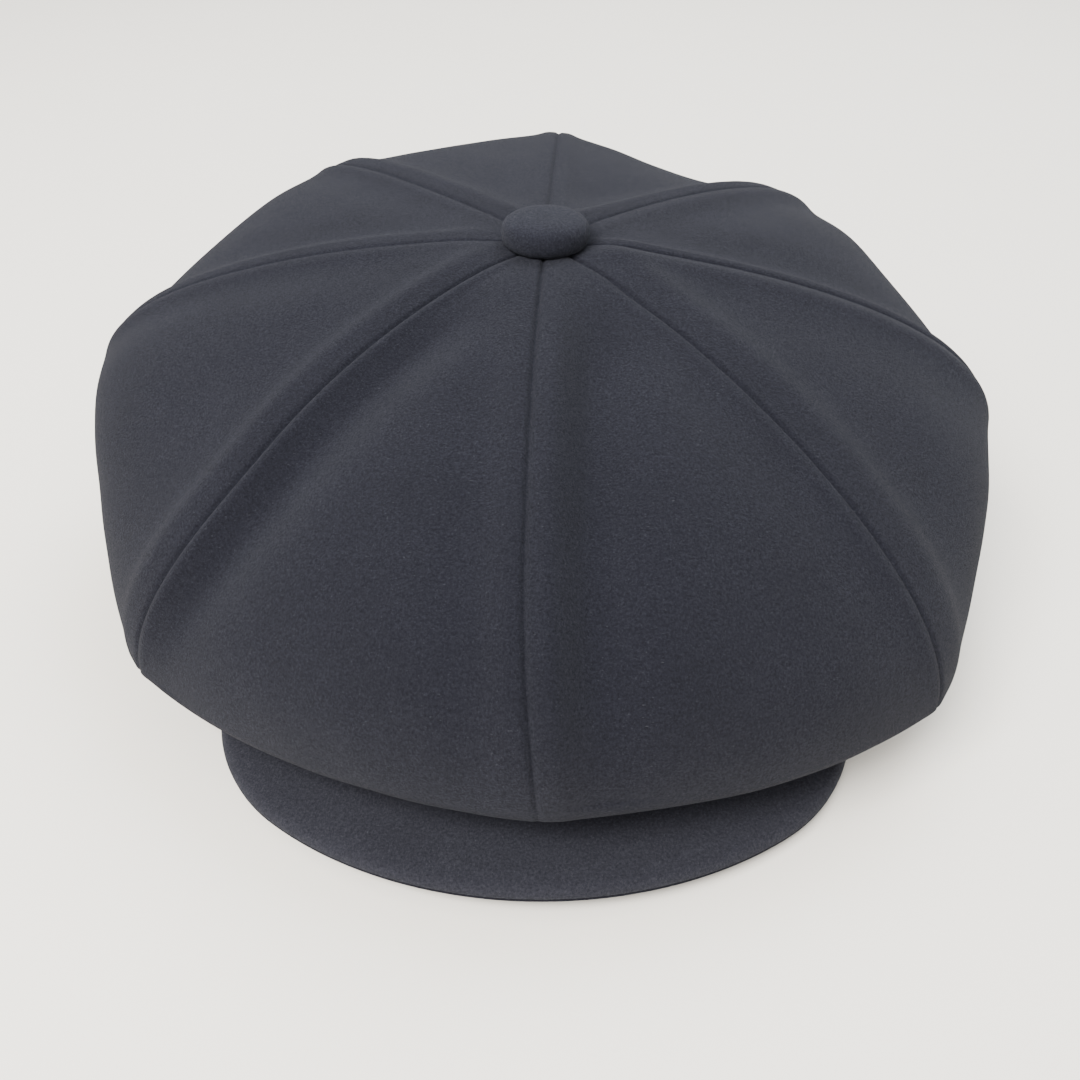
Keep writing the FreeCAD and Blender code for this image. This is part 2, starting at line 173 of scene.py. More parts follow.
def shoulder(gore, share, step):
    """Angle round the button's axis at a step, and radius and height of the widest point."""
    after = (gore + 1) % GORES
    span = seam_angle(gore + 1, step) - seam_angle(gore, step)
    r0, r1 = SEAM_R[gore] + SLUMP_R[gore], SEAM_R[after] + SLUMP_R[after]
    z0, z1 = SEAM_Z[gore] + SLUMP_Z[gore], SEAM_Z[after] + SLUMP_Z[after]
    turn = share * span
    chord = r0 * r1 * np.sin(span) / (r0 * np.sin(turn) + r1 * np.sin(span - turn))
    arc = r0 + (r1 - r0) * ease(share)
    wide = chord + (arc - chord) * BULGE[gore]
    return seam_angle(gore, step) + turn, wide, z0 + (z1 - z0) * ease(share)


def crown(gore, share, step):
    """Points of the crown before its seams and folds are pressed into it."""
    angle, wide, high = shoulder(gore, share, step)
    turned = turned_from_front(angle)
    fall = CROWN_TOP - high
    full = FULL_FRONT + FULL_REAR_MORE * ease((turned - FULL_FROM) / FULL_OVER)
    u = np.clip(step, 0, 1)
    up_r = bezier((APEX_R, LEVEL_TO * wide, wide, wide), u)
    up_z = bezier((CROWN_TOP, CROWN_TOP - LEVEL_FALL * fall, high + full * fall, high), u)

    front = over_visor(turned)
    hem = ellipse_reach(angle, TAPE_A + TAPE_GAP + WOOL, TAPE_B + TAPE_GAP + WOOL)
    # The hem stands a little higher over the visor's rear corners, which rise when the visor tips.
    hem_z = HEM_LIFT * front + CORNER_LIFT * bump(turned, CORNER_AT, CORNER_WIDE)
    down_r, down_z = hanging(wide, high, hem, hem_z, front, ROLL_GAP * front, step - 1)
    r = np.where(step <= 1, up_r, down_r)
    z = np.where(step <= 1, up_z, down_z)
    return np.stack([r * np.sin(angle), AXIS_Y - r * np.cos(angle), z], -1)


# ---------------------------------------------------------------- seams, welts and folds
# Each seam has a stitched groove, and on each side a welt where the seam allowance lies under the
# wool, then a hollow. A row gives, for the side before and after the seam: welt height, how far
# the welt's crest is from the groove, hollow depth, hollow distance and hollow width, in mm.

SEAMS = (
    ((0.8, 10.0, 2.2, 12.0, 5.5), (1.6, 6.0, 6.6, 18.0, 7.0)),    # front
    ((0.4, 3.5, 1.0, 12.0, 7.0), (2.0, 12.0, 0.4, 28.0, 10.0)),   # front, +X side
    ((1.3, 7.0, 1.2, 22.0, 9.0), (0.9, 4.0, 1.6, 14.0, 8.0)),     # side, +X
    ((0.6, 6.0, 2.0, 17.0, 9.0), (1.6, 7.0, 0.8, 22.0, 8.0)),     # rear, +X side
    ((0.6, 5.0, 0.6, 14.0, 8.0), (0.6, 5.0, 0.6, 14.0, 8.0)),     # rear
    ((1.4, 7.0, 0.8, 20.0, 9.0), (0.5, 4.0, 1.6, 13.0, 8.0)),     # rear, -X side
    ((0.8, 6.0, 0.8, 16.0, 8.0), (0.3, 4.0, 1.4, 12.0, 7.0)),     # side, -X
    ((1.7, 8.5, 0.3, 28.0, 10.0), (0.9, 3.2, 5.0, 13.0, 7.0)),    # front, -X side
)
# The stitching pulls each groove this deep; those that lie flatter are shallower.
GROOVE = MM * np.array([1.2, 1.1, 0.9, 0.75, 0.7, 0.75, 0.6, 1.15])
GROOVE_WIDE = 0.85 * MM
WELT_WIDE = 0.62
HOLLOW_SLOW = 1.7


def seam_relief(seam, side, distance, step):
    """Height of the wool at a distance from a seam, on side 0 before it or side 1 after it."""
    welt, crest, hollow, hollow_at, hollow_wide = (value * MM for value in SEAMS[seam][side])
    # Steps and shares below say where along the seam each feature starts and fades.
    along = ease(step / 0.16) * (1 - 0.85 * ease((step - 0.72) / 0.4))
    deep = ease((step - 0.1) / 0.2) * (1 - ease((step - 0.66) / 0.45))
    groove = -GROOVE[seam] * bump(distance, 0, GROOVE_WIDE) * (1 - 0.75 * ease((step - 0.85) / 0.4))
    raised = welt * bump(distance, crest, WELT_WIDE * crest) * along
    raised = raised * ease(distance / (0.4 * crest))
    # The hollow falls away quickly beside the welt and comes back slowly into the panel.
    spread = np.where(distance > hollow_at, HOLLOW_SLOW * hollow_wide, hollow_wide)
    sunk = -hollow * bump(distance, hollow_at, spread) * deep
    return groove + raised + sunk


def wander(x, y, z, scale, seed):
    """Smooth variation between about -1 and 1, from a few crossed waves."""
    total = 0
    for k in range(5):
        turn = seed * 1.7 + k * 2.4
        wave = (x * math.cos(turn) + y * math.sin(turn) + z * math.cos(turn * 1.3 + 1)) / scale
        total = total + np.sin(wave * (1 + 0.37 * k) + seed * 3.1 + k * 1.9) / (1 + 0.5 * k)
    return total / 2.4


def grid_normals(points):
    across = np.gradient(points, axis=0)
    along = np.gradient(points, axis=1)
    normal = np.cross(along, across)
    return normal / (np.linalg.norm(normal, axis=-1, keepdims=True) + 1e-12)


HALF_COLUMNS = 30
ROWS_UP, ROWS_DOWN = 130, 70
FIRST_STEP = 0.012
CROWD_TO_SEAMS = 1.7


def gore_grid(gore):
    """Share across (0 to 1) and step along for one gore, close together beside the seams."""
    above = np.linspace(FIRST_STEP, 1, ROWS_UP, endpoint=False)
    steps = np.concatenate([above, np.linspace(1, 2, ROWS_DOWN)])
    half = 0.5 * np.linspace(0, 1, HALF_COLUMNS + 1) ** CROWD_TO_SEAMS
    shares = np.concatenate([half, 1 - half[-2::-1]])
    return np.meshgrid(shares, steps, indexing="ij")


MIDDLE = np.array([0, AXIS_Y, 0.4 * CROWN_TOP])
# Unevenness of the wool, as height and length of its waves.
LONG_WAVES = (0.9 * MM, 26 * MM)
SHORT_WAVES = (0.25 * MM, 9 * MM)
BUTTON_SINK = 1.2 * MM
BUTTON_SINK_WIDE = 9 * MM
HEM_ROUND = 1.2 * MM
HEM_ROUND_STEPS = 0.035


def outward_normals(points):
    normal = grid_normals(points)
    return normal if (normal * (points - MIDDLE)).sum() > 0 else -normal


def gore_points(gore):
    share, step = gore_grid(gore)
    plain = crown(gore, share, step)
    normal = outward_normals(plain)
    gaps = np.linalg.norm(np.diff(plain, axis=0), axis=-1)
    walked = np.concatenate([np.zeros((1, plain.shape[1])), np.cumsum(gaps, axis=0)])
    width = walked[-1]
    relief = seam_relief(gore, 1, walked, step)
    relief = relief + seam_relief((gore + 1) % GORES, 0, width - walked, step)
    # Panels puff up a little between their seams and are never quite even.
    inside = np.sin(math.pi * walked / width)
    x, y, z = plain[..., 0], plain[..., 1], plain[..., 2]
    calm = ease(step / 0.3) * (1 - ease((step - 1.5) / 0.4))
    relief = relief + PUFF[gore] * MM * inside * ease(step / 0.5) * (1 - ease((step - 1.2) / 0.6))
    for (height, length), seed in ((LONG_WAVES, gore + 1), (SHORT_WAVES, gore + 11)):
        relief = relief + height * wander(x, y, z, length, seed) * inside * calm
    # The button sinks into the crown a little, and the wool is rounded where it turns in below.
    reach = np.hypot(x, y - AXIS_Y)
    relief = relief - BUTTON_SINK * bump(reach, 0.8 * BUTTON_R, BUTTON_SINK_WIDE)
    relief = relief - HEM_ROUND * ease((step - (2 - HEM_ROUND_STEPS)) / HEM_ROUND_STEPS)
    return plain + normal * relief[..., None]


# ---------------------------------------------------------------- meshes


def add_mesh(name, points, faces, material):
    mesh = bpy.data.meshes.new(name)
    mesh.from_pydata([tuple(p) for p in points], [], [tuple(f) for f in faces])
    mesh.validate()
    mesh.materials.append(material)
    mesh.polygons.foreach_set("use_smooth", [True] * len(mesh.polygons))
    obj = bpy.data.objects.new(name, mesh)
    bpy.context.scene.collection.objects.link(obj)
    return obj


def grid_faces(rows, columns, base=0, wrap=False, flip=False):
    """Quads of a grid whose point (i, j) is number base + i * columns + j."""
    faces = []
    for i in range(rows if wrap else rows - 1):
        for j in range(columns - 1):
            a, b = base + i * columns + j, base + ((i + 1) % rows) * columns + j
            quad = (a, b, b + 1, a + 1)
            faces.append(quad[::-1] if flip else quad)
    return faces


def slab(name, outer, inner, material):
    """A closed sheet with real thickness from two grids of the same size."""
    rows, columns = outer.shape[:2]
    count = rows * columns
    points = np.concatenate([outer.reshape(-1, 3), inner.reshape(-1, 3)])
    faces = grid_faces(rows, columns) + grid_faces(rows, columns, base=count, flip=True)
    edge = [i * columns for i in range(rows)]
    edge += [(rows - 1) * columns + j for j in range(1, columns)]
    edge += [i * columns + columns - 1 for i in range(rows - 2, -1, -1)]
    edge += list(range(columns - 2, 0, -1))
    for a, b in zip(edge, edge[1:] + edge[:1]):
        faces.append((b, a, a + count, b + count))
    return add_mesh(name, points, faces, material)


# ---------------------------------------------------------------- materials


class Nodes:
    """A material whose nodes are added and joined in short calls."""

    def __init__(self, name):
        self.material = bpy.data.materials.new(name)
        self.material.use_nodes = True
        self.tree = self.material.node_tree
        self.shader = self.tree.nodes["Principled BSDF"]

    def add(self, kind, settings=(), **inputs):
        node = self.tree.nodes.new(kind)
        for field, value in dict(settings).items():
            setattr(node, field, value)
        for name, value in inputs.items():
            self.set(node.inputs[name.replace("_", " ")], value)
        return node

    def set(self, socket, value):
        if hasattr(value, "links"):
            self.tree.links.new(value, socket)
        else:
            socket.default_value = value

    def place(self, scale=(1, 1, 1), turn=(0, 0, 0)):
        """Object coordinates in millimetres, stretched and turned."""
        where = self.add("ShaderNodeTexCoord").outputs["Object"]
        mapping = self.add("ShaderNodeMapping", Vector=where)
        mapping.inputs["Scale"].default_value = [1000 * s for s in scale]
        mapping.inputs["Rotation"].default_value = turn
        return mapping.outputs["Vector"]

    def noise(self, where, scale, detail=3.0, rough=0.55):
        node = self.add("ShaderNodeTexNoise", Vector=where, Scale=scale, Detail=detail,
                        Roughness=rough)
        return node.outputs["Fac"]

    def spread(self, value, low, high, to_low=0.0, to_high=1.0):
        node = self.add("ShaderNodeMapRange", Value=value)
        for name, number in (("From Min", low), ("From Max", high),
                             ("To Min", to_low), ("To Max", to_high)):
            node.inputs[name].default_value = number
        return node.outputs["Result"]

    def maths(self, kind, one, two):
        node = self.add("ShaderNodeMath", {"operation": kind})
        self.set(node.inputs[0], one)
        self.set(node.inputs[1], two)
        return node.outputs[0]

    def mix(self, share, one, two):
        node = self.add("ShaderNodeMix", {"data_type": "RGBA"})
        self.set(node.inputs[0], share)
        self.set(node.inputs[6], one)
        self.set(node.inputs[7], two)
        return node.outputs[2]

    def bump(self, height, distance, strength=1.0, after=None):
        node = self.add("ShaderNodeBump", Height=height, Distance=distance, Strength=strength)
        if after is not None:
            self.set(node.inputs["Normal"], after)
        return node.outputs["Normal"]

    def finish(self, **inputs):
        for name, value in inputs.items():
            self.set(self.shader.inputs[name.replace("_", " ")], value)
        return self.material


def wool_material(name, red=1.0, green=1.0, blue=1.0):
    """Felted melton wool: fine even fuzz, slightly cloudy, with a few pale specks of lint.

    Red, green and blue are how many times lighter the cloth is than the crown's.
    """
    cast = np.array([red, green, blue])
    n = Nodes(name)
    plain = n.place()
    cloud = n.noise(plain, 0.035, 4.0)
    grain = n.noise(plain, 1.5, 6.0, 0.78)
    fuzz = n.noise(plain, 3.4, 3.0, 0.7)
    dark = [*cast * (0.0054, 0.0056, 0.0088), 1]
    middle = [*cast * (0.0108, 0.0112, 0.0168), 1]
    pale = [*cast * (0.0210, 0.0217, 0.0305), 1]
    tone = n.mix(n.spread(grain, 0.34, 0.54), dark, middle)
    tone = n.mix(n.spread(grain, 0.54, 0.76), tone, pale)
    tone = n.mix(n.spread(cloud, 0.35, 0.65, 0.0, 0.22), tone, dark)
    # Lint: short hairs where a fine stretched noise peaks, lying in two directions.
    streak = n.noise(n.place((0.7, 3.4, 2.4), (0.4, 0.9, 0.3)), 1.2, 1.0)
    other = n.noise(n.place((2.8, 0.7, 3.2), (1.7, 0.2, 1.1)), 1.2, 1.0)
    lint = n.maths("MAXIMUM", n.spread(streak, 0.74, 0.80), n.spread(other, 0.74, 0.80))
    tone = n.mix(n.maths("MULTIPLY", lint, 0.5), tone, (0.09, 0.095, 0.11, 1))
    nap = n.bump(grain, 0.00045)
    nap = n.bump(fuzz, 0.00022, after=nap)
    down = n.spread(grain, 0.36, 0.68, 0.025, 0.085)
    return n.finish(Base_Color=tone, Roughness=0.95, Sheen_Weight=down, Sheen_Roughness=0.5,
                    Sheen_Tint=(0.66, 0.69, 0.80, 1), Specular_IOR_Level=0.1, Normal=nap)


def lining_material():
    n = Nodes("satin_lining")
    weave = n.noise(n.place((0.15, 4, 4), (0.2, 0.4, 0.8)), 1.0, 2.0)
    cloud = n.noise(n.place(), 0.05, 2.0)
    tone = n.mix(cloud, (0.012, 0.013, 0.018, 1), (0.022, 0.023, 0.030, 1))
    return n.finish(Base_Color=tone, Roughness=n.spread(weave, 0.3, 0.7, 0.34, 0.52),
                    Specular_IOR_Level=0.5, Normal=n.bump(weave, 0.00012))


def ribbed_material():
    n = Nodes("ribbed_tape")
    rib = n.add("ShaderNodeTexWave", {"bands_direction": "Z"}, Vector=n.place(), Scale=0.35,
                Distortion=0.4)
    fuzz = n.noise(n.place(), 1.4, 3.0)
    tone = n.mix(fuzz, (0.014, 0.014, 0.017, 1), (0.034, 0.034, 0.039, 1))
    bumps = n.bump(fuzz, 0.00015, after=n.bump(rib.outputs["Fac"], 0.0003))
    return n.finish(Base_Color=tone, Roughness=0.85, Sheen_Weight=0.2, Normal=bumps)


def plain_material(name, one, two, rough, metal=0.0, grain=0.6, depth=0.00008):
    n = Nodes(name)
    noise = n.noise(n.place(), grain, 4.0, 0.6)
    return n.finish(Base_Color=n.mix(noise, one, two),
                    Roughness=n.spread(noise, 0.3, 0.7, rough, rough + 0.12),
                    Metallic=metal, Normal=n.bump(noise, depth))


WOOL_LOOK = wool_material("melton_wool")
# Painted light: the visor's top cover uses a lighter copy of the crown's wool, standing in for the
# brighter light on the visor top.
VISOR_TOP_PAINTED_LIGHT_WOOL_LOOK = wool_material("melton_wool_visor_painted_light", 2.25, 2.2, 1.95)
# Painted light: the button uses a lighter copy of the crown's wool, standing in for the light on its
# upturned top.
BUTTON_PAINTED_LIGHT_WOOL_LOOK = wool_material("melton_wool_button_painted_light", 1.3, 1.33, 1.3)
LINING_LOOK = lining_material()
BAND_LOOK = ribbed_material()
TAPE_LOOK = plain_material("stay_tape", (0.05, 0.05, 0.055, 1), (0.08, 0.08, 0.085, 1), 0.8)
STEEL_LOOK = plain_material("pressed_steel", (0.50, 0.50, 0.51, 1), (0.58, 0.58, 0.59, 1), 0.3, 1.0)
BRASS_LOOK = plain_material("brass", (0.56, 0.42, 0.20, 1), (0.64, 0.50, 0.26, 1), 0.28, 1.0)
BOARD_LOOK = plain_material("visor_board", (0.66, 0.66, 0.64, 1), (0.74, 0.74, 0.72, 1), 0.45)
THREAD_LOOK = plain_material("thread", (0.016, 0.016, 0.020, 1), (0.030, 0.030, 0.036, 1), 0.6,
                             grain=3.0)

# ---------------------------------------------------------------- crown and lining


def add_gores():
    """The eight wool gores. The two at the front, where they are sewn to the visor, are baked in
    place and not attached to the crown.
    """
    for gore, name in enumerate(GORE_NAMES):
        outer = gore_points(gore)
        inner = outer - outward_normals(outer) * WOOL
        piece = slab("crown_wool_" + name, outer, inner, WOOL_LOOK)
        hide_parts("crown_gore_" + name)
        if name.startswith("front"):
            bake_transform(piece)
        else:
            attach(piece, "crown")


LINING_GAP = 9.5 * MM
LINING_HEM_Z = box_of("lining_gore_rear_right")[0][2]
LINING_COLUMNS, LINING_ROWS = 49, 110
BAND_GAP = 1.2 * MM
GATHERS = 7
GATHER_DEPTH = 0.8 * MM
LINING_SEAM_DIP = 1.0 * MM
# Over the button's washer the lining hangs this much lower, within this distance of the middle.
WASHER_SAG, WASHER_REACH = 2.4 * MM, 45 * MM


def lining_points(gore):
    across, along = np.linspace(0, 1, LINING_COLUMNS), np.linspace(0.02, 2, LINING_ROWS)
    share, step = np.meshgrid(across, along, indexing="ij")
    plain = crown(gore, share, np.minimum(step, 1))
    points = plain - outward_normals(plain) * LINING_GAP
    reach = np.hypot(points[..., 0], points[..., 1] - AXIS_Y)
    points[..., 2] -= WASHER_SAG * (1 - ease(reach / WASHER_REACH))
    angle, wide, high = shoulder(gore, share, step)
    front = over_visor(turned_from_front(angle))
    hem = ellipse_reach(angle, BAND_A + BAND_GAP, BAND_B + BAND_GAP)
    down_r, down_z = hanging(wide - LINING_GAP, high, hem, LINING_HEM_Z, front, 0, step - 1)
    down = np.stack([down_r * np.sin(angle), AXIS_Y - down_r * np.cos(angle), down_z], -1)
    points = np.where((step <= 1)[..., None], points, down)
    # Loose satin hangs in soft gathers that fade out at the button, and dips at its seams.
    wave = np.sin(share * GATHERS * math.pi + 1.5 * np.sin(step * 3 + gore)) * ease(step / 0.5)
    lower = 0.35 + 0.65 * ease((step - 0.8) / 0.8)
    fold = GATHER_DEPTH * wave * lower * (1 - ease((step - 1.9) / 0.1))
    dip = LINING_SEAM_DIP * bump(np.minimum(share, 1 - share), 0, 0.02) * ease(step / 0.3)
    return points - outward_normals(points) * (fold * np.sin(math.pi * share) - dip)[..., None]


def add_lining():
    for gore, name in enumerate(GORE_NAMES):
        outer = lining_points(gore)
        inner = outer - outward_normals(outer) * LINING
        piece = slab("lining_satin_" + name, outer, inner, LINING_LOOK)
        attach(piece, "crown")
        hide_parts("lining_gore_" + name)


# ---------------------------------------------------------------- visor

ROOT_GAP = 1.2 * MM
VISOR_ROOT_Y = -(TAPE_B + ROOT_GAP)
HALF_THICK = 2.7 * MM
COVER_THICK = 1.5 * MM
# The visor is arched across, to this radius, and slopes down to the front.
ARCH = 0.628
SLOPE = math.tan(math.radians(5))
ROOT_MIDDLE = VISOR_HIGH[2] - HALF_THICK
# Its outline is three arcs on each side: front, corner and side.
OUTLINE_FRONT_R, OUTLINE_CORNER_R, OUTLINE_SIDE_R = 119 * MM, 60 * MM, 90 * MM
ARC_STEPS = 80
OUTLINE_STEPS = 220
FLAT_STEPS, RIM_STEPS = 30, 16
# The two covers meet at this angle round the rim, just under its middle, where both dip in.
RIM_SEAM_AT = -12
SEAM_PULL = 0.5 * MM
# Cloth stands past the CAD cover at the front and at the sides.
RIM_EASE = 1.3 * MM
SIDE_EASE = 2.2 * MM


def visor_outline():
    """Points round the visor's outer edge from the +X tip to the -X tip: side, corner, front."""
    wide, front = VISOR_HIGH[0] + SIDE_EASE, -VISOR_LOW[1] + RIM_EASE
    front_r, corner_r, side_r = OUTLINE_FRONT_R, OUTLINE_CORNER_R, OUTLINE_SIDE_R
    middle = front_r - front
    corner_x = wide - corner_r
    corner_y = middle - math.sqrt((front_r - corner_r) ** 2 - corner_x ** 2)
    touch = math.atan2(corner_y - middle, corner_x)
    tip = math.asin((VISOR_HIGH[1] - corner_y) / side_r)
    points = []
    for x, y, radius, start, end in ((wide - side_r, corner_y, side_r, tip, 0),
                                     (corner_x, corner_y, corner_r, 0, touch),
                                     (0, middle, front_r, touch, -math.pi / 2)):
        turn = np.linspace(start, end, ARC_STEPS)
        points.append(np.stack([x + radius * np.cos(turn), y + radius * np.sin(turn)], -1))
    half = np.concatenate(points)
    whole = np.concatenate([half, half[-2::-1] * [-1, 1]])
    gone = np.concatenate([[0], np.cumsum(np.linalg.norm(np.diff(whole, axis=0), axis=1))])
    even = np.linspace(0, gone[-1], OUTLINE_STEPS)
    return np.stack([np.interp(even, gone, whole[:, 0]), np.interp(even, gone, whole[:, 1])], -1)


def visor_sheet(upper):
    """Outer surface of one cover, from the root to the rim and round it to the edge seam."""
    edge = visor_outline()
    a, b = TAPE_A + ROOT_GAP, TAPE_B + ROOT_GAP
    tip = math.asin(max(min(-edge[0, 1] / b, 1), -1))
    turn = np.linspace(-tip, -math.pi + tip, OUTLINE_STEPS)
    root = np.stack([a * np.cos(turn), b * np.sin(turn)], -1)
    inward = root - edge
    span = np.linalg.norm(inward, axis=1, keepdims=True)
    inward = inward / span
    flat = np.linspace(1, 0, FLAT_STEPS)
    arc = np.radians(np.linspace(90 if upper else -90, RIM_SEAM_AT, RIM_STEPS))[1:]
    setback = np.concatenate([flat * 0 + HALF_THICK, HALF_THICK * (1 - np.cos(arc))])
    level = np.concatenate([flat * 0 + (1 if upper else -1), np.sin(arc)]) * HALF_THICK
    from_edge = np.maximum(span - HALF_THICK, 0) * np.concatenate([flat, arc * 0]) + setback
    flat_points = edge[:, None, :] + inward[:, None, :] * from_edge[..., None]
    x, y = flat_points[..., 0], flat_points[..., 1]
    middle = ROOT_MIDDLE + (y - VISOR_ROOT_Y) * SLOPE - (ARCH - np.sqrt(ARCH ** 2 - x ** 2))
    z = middle + level[None, :]
    # A faint ridge over the seam allowance and a slightly uneven surface, calmer underneath.
    lift = 0.3 * MM * bump(from_edge, 6 * MM, 3 * MM) + 0.25 * MM * wander(x, y, z, 14 * MM, 3)
    z = z + lift * (1 if upper else -0.6) * ease(from_edge / (4 * MM))
    seam = np.zeros(len(level))
    seam[-3:] = (0.2, 0.6, 1.0)
    pulled = flat_points + inward[:, None, :] * (SEAM_PULL * seam[None, :, None])
    return np.concatenate([pulled, z[..., None]], -1)


def add_visor_cover(upper):
    """The top or the under cover of the visor, from the root to the edge seam."""
    outer = visor_sheet(upper)
    normal = grid_normals(outer)
    if (normal[..., 2].mean() > 0) != upper:
        normal = -normal
    name = "top" if upper else "under"
    # The top cover gets the lighter wool, which is painted light; the under cover keeps the crown's
    # wool.
    look = VISOR_TOP_PAINTED_LIGHT_WOOL_LOOK if upper else WOOL_LOOK
    piece = slab("visor_wool_" + name, outer, outer - normal * COVER_THICK, look)
    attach(piece, "visor")
    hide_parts("visor_%s_cover" % name)


# ---------------------------------------------------------------- button


# The cloth-covered button is sunk into the crown by this much, and its dome is this much flatter.
BUTTON_SUNK = 2.4 * MM
DOME_FLATTER = 0.7 * MM
BUTTON_COLUMNS, BUTTON_ROWS = 144, 60
BUTTON_INNER = 0.86
PUCKER = 0.1 * MM
PUCKERS = 17


def add_button():
    """A covered button: cloth drawn over the dome, slightly puckered under the rim."""
    base, top = BUTTON_LOW[2] - BUTTON_SUNK, BUTTON_HIGH[2] - DOME_FLATTER
    height = top - base
    # Profile: radius as a share of the button's, height as a share of its height.
    profile = ((0.02, 1.0), (0.20, 0.998), (0.40, 0.99), (0.58, 0.97), (0.72, 0.935), (0.83, 0.885),
               (0.91, 0.81), (0.965, 0.70), (0.99, 0.57), (1.0, 0.43), (0.99, 0.29), (0.96, 0.16),
               (0.90, 0.05), (0.80, 0.0))
    fine = np.linspace(0, len(profile) - 1, BUTTON_ROWS)
    known = np.arange(len(profile))
    radius = BUTTON_R * np.interp(fine, known, [p[0] for p in profile])
    rise = height * np.interp(fine, known, [p[1] for p in profile])
    for _ in range(6):
        radius[1:-1] = (radius[:-2] + 2 * radius[1:-1] + radius[2:]) / 4
        rise[1:-1] = (rise[:-2] + 2 * rise[1:-1] + rise[2:]) / 4
    count, columns = BUTTON_COLUMNS, BUTTON_ROWS
    around = np.linspace(0, 2 * math.pi, count, endpoint=False)
    turn, at = np.meshgrid(around, np.arange(columns), indexing="ij")
    low_down = ease((0.55 - rise[at] / height) / 0.5)
    pucker = PUCKER * np.sin(PUCKERS * turn + 2 * np.sin(3 * turn)) * low_down
    r = radius[at] + pucker
    x, y = r * np.sin(turn), r * np.cos(turn)
    z = base + rise[at] + 0.22 * MM * wander(x, y, 0 * x, 5 * MM, 7)
    outer = np.stack([x, AXIS_Y + y, z], -1)
    centre = np.array([0, AXIS_Y, base + 0.4 * height])
    inner = centre + (outer - centre) * BUTTON_INNER
    size = count * columns
    tips = [grid[:, 0].mean(axis=0) for grid in (outer, inner)]
    points = np.concatenate([outer.reshape(-1, 3), inner.reshape(-1, 3), tips])
    faces = grid_faces(count, columns, wrap=True)
    faces += grid_faces(count, columns, base=size, wrap=True, flip=True)
    for i in range(count):
        a, b = i * columns, ((i + 1) % count) * columns
        faces.append((2 * size, a, b))
        faces.append((2 * size + 1, b + size, a + size))
        c, d = a + columns - 1, b + columns - 1
        faces.append((d, d + size, c + size, c))
    # The button's cloth is the lighter wool, which is painted light for its lit top.
    piece = add_mesh("button_wool", points, faces, BUTTON_PAINTED_LIGHT_WOOL_LOOK)
    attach(piece, "crown")
    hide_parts("button_cover")


# ---------------------------------------------------------------- sweatband and its stitches


def ring_points(a, b, profile, count):
    """Points round the head opening; profile rows are (outset, height)."""
    turn = np.linspace(0, 2 * math.pi, count, endpoint=False)[:, None]
    outset, height = np.array(profile).T
    x = (a + outset) * np.sin(turn)
    y = -(b + outset) * np.cos(turn)
    return np.stack([x, y, height + 0 * x], -1)


BAND_THICK = 1.2 * MM
BAND_FOOT = 0.2 * MM
BAND_ROWS = 14
BAND_POINTS = 1440
RIB_DEPTH = 0.12 * MM


def add_sweatband():
    """A woven tape with fine upright ribs, sewn in along both edges."""
    thick = BAND_THICK
    low, high = BAND_FOOT, BAND_HIGH[2]
    heights = np.linspace(low, high, BAND_ROWS)
    inside = [(-thick, z) for z in heights]
    outside = [(0, z) for z in heights[::-1]]
    profile = [(-thick / 2, low)] + inside + [(-thick / 2, high)] + outside
    count = BAND_POINTS
    ring = ring_points(BAND_A, BAND_B, profile, count)
    outward = ring[:, -2] - ring[:, 2]
    outward = outward / np.linalg.norm(outward, axis=1, keepdims=True)
    # Four points round make one rib. The rows at the two edges stay plain.
    rib = RIB_DEPTH * np.cos(np.arange(count) * math.pi / 2)
    ring[:, 2:BAND_ROWS] += (outward * rib[:, None])[:, None, :]
    columns = ring.shape[1]
    faces = []
    for i in range(count):
        for j in range(columns):
            a, b = i * columns, ((i + 1) % count) * columns
            after = (j + 1) % columns
            faces.append((a + j, a + after, b + after, b + j))
    band = add_mesh("sweatband_tape", ring.reshape(-1, 3), faces, BAND_LOOK)
    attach(band, "crown")
    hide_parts("sweatband")


STITCHES = 240
STITCH_LONG = 1.9 * MM
STITCH_R = 0.24 * MM
STITCH_SIDES = 6
STITCH_SINK = 0.22 * MM
STITCH_INSET = 1.25 * MM
STITCH_FROM_EDGE = 3 * MM


def add_stitches():
    """Two rows of lock stitch on the sweatband's inner face, one near each edge."""
    points, faces = [], []
    sides = STITCH_SIDES
    a_in, b_in = BAND_A - STITCH_INSET, BAND_B - STITCH_INSET
    for height in (STITCH_FROM_EDGE, BAND_HIGH[2] - STITCH_FROM_EDGE):
        for k in range(STITCHES):
            turn = 2 * math.pi * k / STITCHES
            centre = np.array([a_in * math.sin(turn), -b_in * math.cos(turn), height])
            along = np.array([BAND_A * math.cos(turn), BAND_B * math.sin(turn), 0])
            along = along / np.linalg.norm(along)
            out = np.array([along[1], -along[0], 0])
            up = np.array([0, 0, 1.0])
            base = len(points)
            # Share along the stitch, and thickness there as a share of the full one.
            for t, fat in ((-0.5, 0.3), (-0.38, 0.85), (0, 1.0), (0.38, 0.85), (0.5, 0.3)):
                sink = STITCH_SINK * (2 * t) ** 2
                for m in range(sides):
                    a = 2 * math.pi * m / sides
                    ring = STITCH_R * fat * (math.cos(a) * out + math.sin(a) * up)
                    points.append(centre + along * STITCH_LONG * t + out * sink + ring)
            for i in range(4):
                for m in range(sides):
                    a, b = base + i * sides + m, base + i * sides + (m + 1) % sides
                    faces.append((a, b, b + sides, a + sides))
            faces.append(tuple(base + m for m in range(sides))[::-1])
            faces.append(tuple(base + 4 * sides + m for m in range(sides)))
    piece = add_mesh("sweatband_stitches", points, faces, THREAD_LOOK)
    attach(piece, "crown")


def paint(look, *nodes):
    """Give CAD pieces that keep their own shape a material."""
    for node in nodes:
        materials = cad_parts[node].data.materials
        materials.clear()
        materials.append(look)


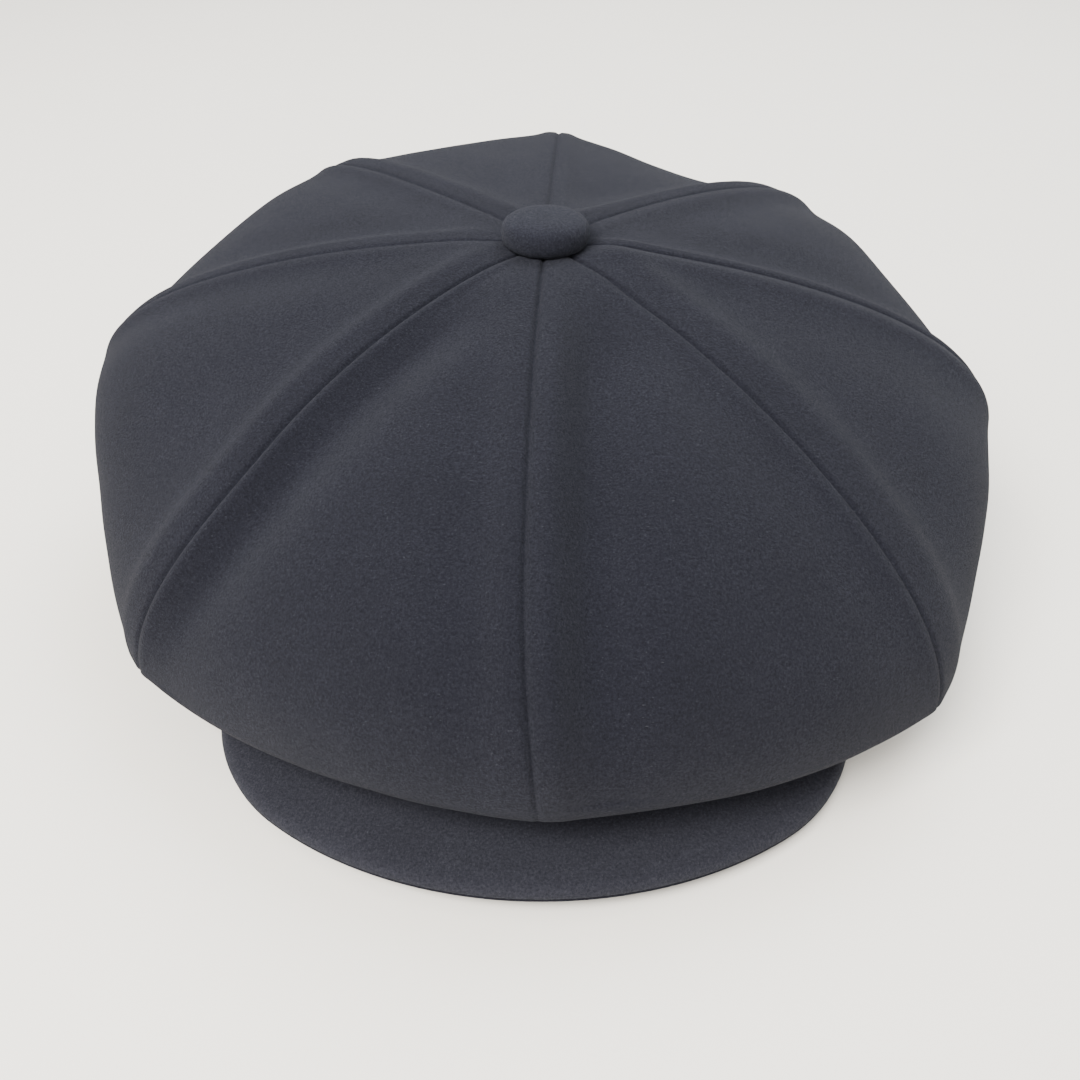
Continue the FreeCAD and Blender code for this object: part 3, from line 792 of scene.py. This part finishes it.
add_gores()
add_lining()
add_visor_cover(True)
add_visor_cover(False)
add_button()
add_sweatband()
add_stitches()
paint(TAPE_LOOK, "hem_tape")
paint(STEEL_LOOK, "button_shell", "button_back_plate", "crown_washer")
paint(BRASS_LOOK, "button_split_pin")
paint(BOARD_LOOK, "visor_board")

# ---------------------------------------------------------------- floor, light and camera


def add_floor():
    n = Nodes("pale_floor")
    cloud = n.noise(n.place(), 0.004, 4.0)
    n.finish(Base_Color=n.mix(cloud, (0.94, 0.89, 0.80, 1), (0.97, 0.93, 0.855, 1)), Roughness=0.7)
    mesh = bpy.data.meshes.new("floor")
    side = 6.0
    corners = [(-side, -side, 0), (side, -side, 0), (side, side, 0), (-side, side, 0)]
    mesh.from_pydata(corners, [], [(0, 1, 2, 3)])
    mesh.materials.append(n.material)
    floor = bpy.data.objects.new("floor", mesh)
    bpy.context.scene.collection.objects.link(floor)
    floor.location.z = -0.2 * MM


def add_area(name, place, aim, size, power, colour):
    light = bpy.data.lights.new(name, "AREA")
    light.shape = "RECTANGLE"
    light.size, light.size_y = size
    light.energy = power
    light.color = colour
    obj = bpy.data.objects.new(name, light)
    obj.location = place
    obj.rotation_euler = (Vector(aim) - Vector(place)).to_track_quat("-Z", "Y").to_euler()
    bpy.context.scene.collection.objects.link(obj)


def add_world():
    world = bpy.data.worlds.new("room")
    world.use_nodes = True
    back = world.node_tree.nodes["Background"]
    back.inputs["Color"].default_value = (1.0, 0.99, 0.97, 1)
    back.inputs["Strength"].default_value = 1.35
    bpy.context.scene.world = world


def add_camera():
    """Above and in front of the visor, looking down at the button."""
    data = bpy.data.cameras.new("camera")
    data.sensor_width = 36.0
    data.lens = 34.67
    camera = bpy.data.objects.new("camera", data)
    camera.location = (0.0100, -0.3098, 0.2387)
    camera.rotation_euler = (math.radians(90 - 37.7), 0, math.radians(2.12))
    bpy.context.scene.collection.objects.link(camera)
    bpy.context.scene.camera = camera


add_floor()
add_world()
add_area("window", (0.4, 0.9, 1.5), (0, 0, 0.05), (1.2, 1.0), 28, (0.86, 0.93, 1.0))
add_area("ceiling", (-0.70, -0.92, 1.42), (0, -0.05, 0), (1.0, 0.8), 73, (1.0, 0.98, 0.95))
add_camera()

bpy.context.view_layer.update()
